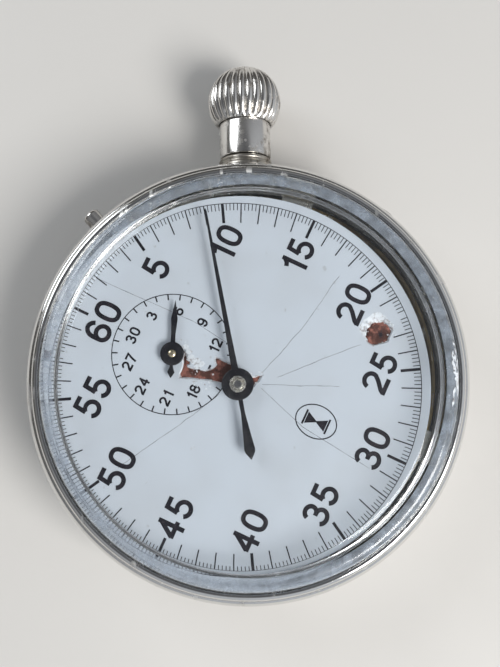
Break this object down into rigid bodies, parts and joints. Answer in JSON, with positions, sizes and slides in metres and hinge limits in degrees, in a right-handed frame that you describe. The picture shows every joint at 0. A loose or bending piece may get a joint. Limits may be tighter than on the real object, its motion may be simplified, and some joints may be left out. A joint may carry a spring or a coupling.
{
  "type": "mechanical stopwatch",
  "caption": "Crown-operated pocket stopwatch with a clear domed crystal, seconds hand, minute sub-dial, side pusher and a geared lever movement.",
  "frame": {"origin": "centre of the back cover's flat resting face, on the case axis", "axes": "+Z out of the dial, +Y from the case centre towards the crown, +X to the right of the crown seen from the dial side"},
  "size_m": [0.0544, 0.0685, 0.0156],
  "materials": {
    "case_chrome": "worn polished plating",
    "crown_chrome": "worn polished plating",
    "collar_metal": "tarnished plating",
    "crystal_clear": "clear moulded acrylic, scratched",
    "enamel": "white vitreous enamel, cracked",
    "copper": "dull oxidised copper",
    "blued_steel": "blued",
    "black_steel": "blackened",
    "steel": "fine ground",
    "spring_steel": "tempered",
    "brass": "gilt",
    "plate_brass": "frosted gilt",
    "nickel": "nickelled, striped",
    "ruby": "polished"
  },
  "bodies": {
    "case": {"case_band": "case_chrome", "back_cover": "case_chrome", "bezel": "case_chrome", "crystal": "crystal_clear", "pendant": "case_chrome", "pendant_collar": "collar_metal", "dial_plate": "copper", "dial_enamel": "enamel", "main_plate": "plate_brass", "barrel_bridge": "nickel", "train_bridge": "nickel", "balance_cock": "nickel", "pallet_cock": "nickel", "bridge_screws": "blued_steel", "case_clamps": "nickel", "clamp_screws": "blued_steel", "dial_screws": "blued_steel", "plate_jewels": "ruby", "bridge_jewels": "ruby", "click_spring": "spring_steel", "crown_wheel_screw": "blued_steel", "hairspring": "spring_steel", "lever_springs": "spring_steel"},
    "stem_slider": {"stem_guide": "brass"},
    "crown": {"crown_knob": "crown_chrome", "winding_stem": "steel"},
    "pusher": {"side_pusher": "crown_chrome"},
    "seconds_train": {"seconds_hand": "black_steel", "fourth_wheel": "brass", "seconds_arbor": "steel", "seconds_heart": "steel"},
    "minute_counter": {"minute_hand": "black_steel", "minute_wheel": "brass", "minute_arbor": "steel"},
    "intermediate": {"intermediate_wheel": "brass"},
    "third": {"third_wheel": "brass", "third_pinion": "steel"},
    "second": {"second_wheel": "brass", "second_pinion": "steel"},
    "barrel": {"barrel_drum": "brass", "barrel_cover": "brass", "mainspring": "spring_steel"},
    "winding_core": {"barrel_arbor": "steel", "ratchet_wheel": "steel", "ratchet_screw": "blued_steel"},
    "crown_gear": {"crown_wheel": "steel"},
    "pinion": {"winding_pinion": "steel"},
    "escape": {"escape_wheel": "steel", "escape_pinion": "steel"},
    "pallets": {"pallet_lever": "steel", "pallet_stones": "ruby"},
    "balance": {"balance_wheel": "brass", "balance_staff": "steel", "roller": "steel"},
    "click_body": {"click": "steel"},
    "regulator_body": {"regulator": "steel"},
    "column": {"column_wheel": "steel"},
    "start_lever": {"operating_lever": "steel"},
    "hammer": {"reset_hammer": "steel"},
    "brake": {"brake_lever": "steel"}
  },
  "joints": [
    {"name": "seconds_spin", "type": "hinge", "parent": "case", "child": "seconds_train", "pos_m": [-0.00157, -0.00077, 0.005], "axis": [0, 0, -1], "continuous": true},
    {"name": "third_spin", "type": "hinge", "parent": "case", "child": "third", "pos_m": [0.00365, -0.00443, 0.005], "axis": [0, 0, -1], "continuous": true},
    {"name": "second_spin", "type": "hinge", "parent": "case", "child": "second", "pos_m": [0.00752, 0.0011, 0.005], "axis": [0, 0, -1], "continuous": true},
    {"name": "barrel_spin", "type": "hinge", "parent": "case", "child": "barrel", "pos_m": [0.00752, 0.0101, 0.005], "axis": [0, 0, -1], "continuous": true},
    {"name": "escape_spin", "type": "hinge", "parent": "case", "child": "escape", "pos_m": [-0.00485, -0.00546, 0.005], "axis": [0, 0, -1], "continuous": true},
    {"name": "intermediate_spin", "type": "hinge", "parent": "case", "child": "intermediate", "pos_m": [-0.00423, 0.00286, 0.005], "axis": [0, 0, -1], "continuous": true},
    {"name": "minute_spin", "type": "hinge", "parent": "case", "child": "minute_counter", "pos_m": [-0.00948, 0.00309, 0.005], "axis": [0, 0, -1], "continuous": true},
    {"name": "pallet_rock", "type": "hinge", "parent": "case", "child": "pallets", "pos_m": [-0.0064, -0.00814, 0.005], "axis": [0, 0, -1], "range_deg": [-5, 5]},
    {"name": "balance_swing", "type": "hinge", "parent": "case", "child": "balance", "pos_m": [-0.0085, -0.01177, 0.005], "axis": [0, 0, -1], "range_deg": [-270, 270], "stiffness_Nm_per_rad": 0.0000015},
    {"name": "crown_press", "type": "slide", "parent": "case", "child": "stem_slider", "axis": [0, -1, 0], "range_m": [0, 0.001], "stiffness_N_per_m": 400},
    {"name": "crown_wind", "type": "hinge", "parent": "stem_slider", "child": "crown", "pos_m": [0, 0.035, 0.0052], "axis": [0, 1, 0], "continuous": true},
    {"name": "winding_pinion_turn", "type": "hinge", "parent": "case", "child": "pinion", "pos_m": [0, 0.018, 0.0052], "axis": [0, 1, 0], "continuous": true},
    {"name": "crown_wheel_turn", "type": "hinge", "parent": "case", "child": "crown_gear", "pos_m": [0, 0.01447, 0.002], "axis": [0, 0, 1], "continuous": true},
    {"name": "ratchet_turn", "type": "hinge", "parent": "case", "child": "winding_core", "pos_m": [0.00752, 0.0101, 0.002], "axis": [0, 0, 1], "continuous": true},
    {"name": "side_press", "type": "slide", "parent": "case", "child": "pusher", "axis": [0.682, -0.7314, 0], "range_m": [0, 0.00076], "stiffness_N_per_m": 300},
    {"name": "hammer_rock", "type": "hinge", "parent": "case", "child": "hammer", "pos_m": [-0.01607, 0.00773, 0.005], "axis": [0, 0, -1], "range_deg": [0, 6.8]},
    {"name": "start_lever_rock", "type": "hinge", "parent": "case", "child": "start_lever", "pos_m": [-0.00497, 0.0152, 0.005], "axis": [0, 0, -1], "range_deg": [0, 11.6]},
    {"name": "brake_rock", "type": "hinge", "parent": "case", "child": "brake", "pos_m": [-0.01517, 0.00023, 0.005], "axis": [0, 0, -1], "range_deg": [0, 3]},
    {"name": "column_turn", "type": "hinge", "parent": "case", "child": "column", "pos_m": [-0.00977, 0.01303, 0.005], "axis": [0, 0, -1], "continuous": true},
    {"name": "click_rock", "type": "hinge", "parent": "case", "child": "click_body", "pos_m": [0.01354, 0.00791, 0.005], "axis": [0, 0, -1], "range_deg": [0, 5]},
    {"name": "regulator_turn", "type": "hinge", "parent": "case", "child": "regulator_body", "pos_m": [-0.0085, -0.01177, 0.005], "axis": [0, 0, -1], "range_deg": [-15, 15]}
  ],
  "couplings": [
    {"joint": "third_spin", "follows": "seconds_spin", "ratio": -0.13333},
    {"joint": "second_spin", "follows": "seconds_spin", "ratio": 0.016667},
    {"joint": "barrel_spin", "follows": "seconds_spin", "ratio": -0.0020833},
    {"joint": "escape_spin", "follows": "seconds_spin", "ratio": -10},
    {"joint": "intermediate_spin", "follows": "seconds_spin", "ratio": -0.2},
    {"joint": "minute_spin", "follows": "seconds_spin", "ratio": 0.033333},
    {"joint": "winding_pinion_turn", "follows": "crown_wind", "ratio": 1},
    {"joint": "crown_wheel_turn", "follows": "crown_wind", "ratio": 0.7},
    {"joint": "ratchet_turn", "follows": "crown_wind", "ratio": -0.60968},
    {"joint": "hammer_rock", "follows": "side_press", "rad_per_m": 154.3},
    {"joint": "start_lever_rock", "follows": "crown_press", "rad_per_m": 201.2}
  ]
}
